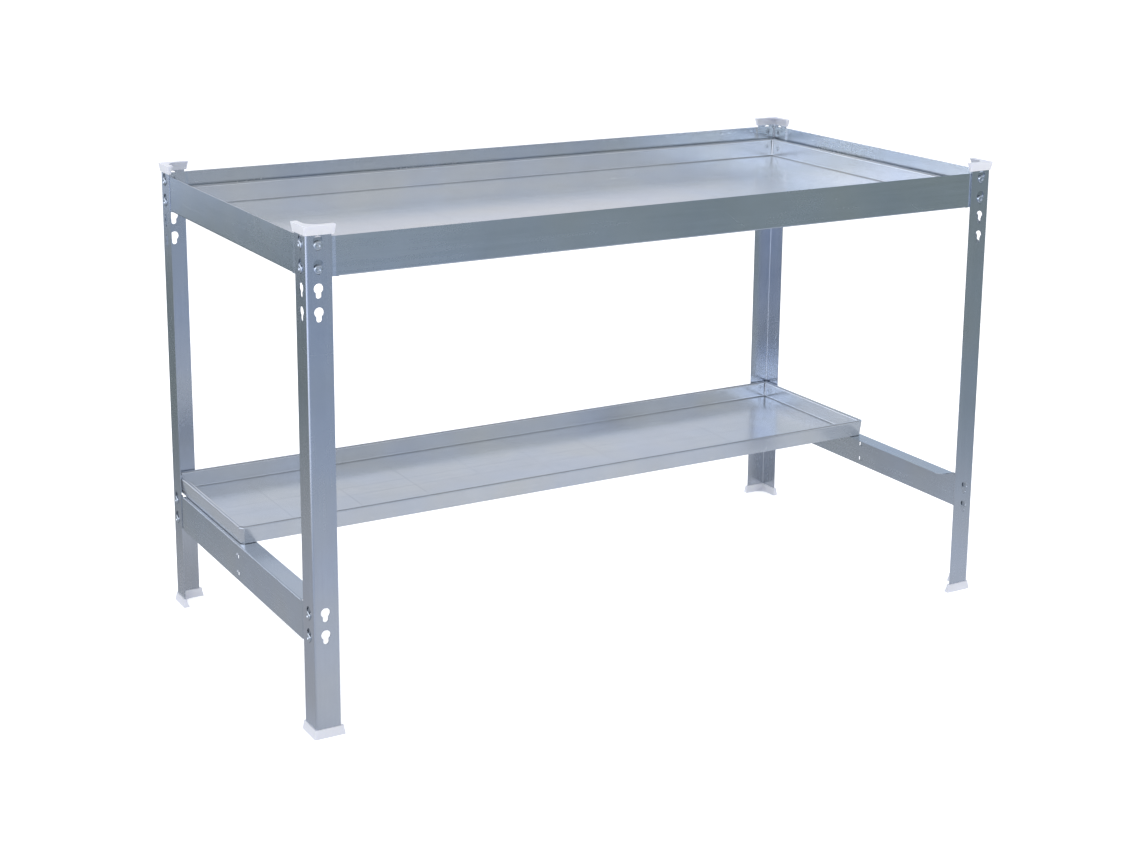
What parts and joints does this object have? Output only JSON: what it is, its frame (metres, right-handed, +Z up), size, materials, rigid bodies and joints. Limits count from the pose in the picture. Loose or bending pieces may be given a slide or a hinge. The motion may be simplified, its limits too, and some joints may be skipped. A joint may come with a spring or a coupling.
{
  "type": "potting bench",
  "caption": "Galvanised sheet-steel potting bench: keyhole-slotted angle posts, hook-in rails, a deep top tray, a half-depth lower tray and flared plastic caps.",
  "frame": {"origin": "on the floor, under the middle of the bench's footprint", "axes": "+X along the length to the right seen from the front, +Y to the back, +Z up"},
  "size_m": [1.207, 0.607, 0.74],
  "materials": {
    "post_steel": "galvanised, fine spangle",
    "rail_steel": "galvanised, fine spangle",
    "tray_steel": "galvanised, bright rolled",
    "stiffener_steel": "galvanised, matt",
    "rivet_steel": "zinc plated",
    "cap_plastic": "moulded, slightly translucent white"
  },
  "bodies": {
    "frame": {"post_front_left": "post_steel", "post_front_right": "post_steel", "post_back_left": "post_steel", "post_back_right": "post_steel", "foot_cap_front_left": "cap_plastic", "foot_cap_front_right": "cap_plastic", "foot_cap_back_left": "cap_plastic", "foot_cap_back_right": "cap_plastic", "top_cap_front_left": "cap_plastic", "top_cap_front_right": "cap_plastic", "top_cap_back_left": "cap_plastic", "top_cap_back_right": "cap_plastic", "front_rail": "rail_steel", "back_rail": "rail_steel", "left_rail": "rail_steel", "right_rail": "rail_steel", "lower_left_rail": "rail_steel", "lower_right_rail": "rail_steel"},
    "top_tray": {"top_tray": "tray_steel", "top_tray_corner_rivets": "rivet_steel", "top_tray_stiffeners": "stiffener_steel"},
    "lower_tray": {"lower_tray": "tray_steel", "lower_tray_corner_rivets": "rivet_steel", "lower_tray_stiffener": "stiffener_steel"}
  },
  "joints": [
    {"name": "top_tray_lift", "type": "slide", "parent": "frame", "child": "top_tray", "axis": [0, 0, 1], "range_m": [0, 0.035]},
    {"name": "lower_tray_lift", "type": "slide", "parent": "frame", "child": "lower_tray", "axis": [0, 0, 1], "range_m": [0, 0.2]}
  ]
}
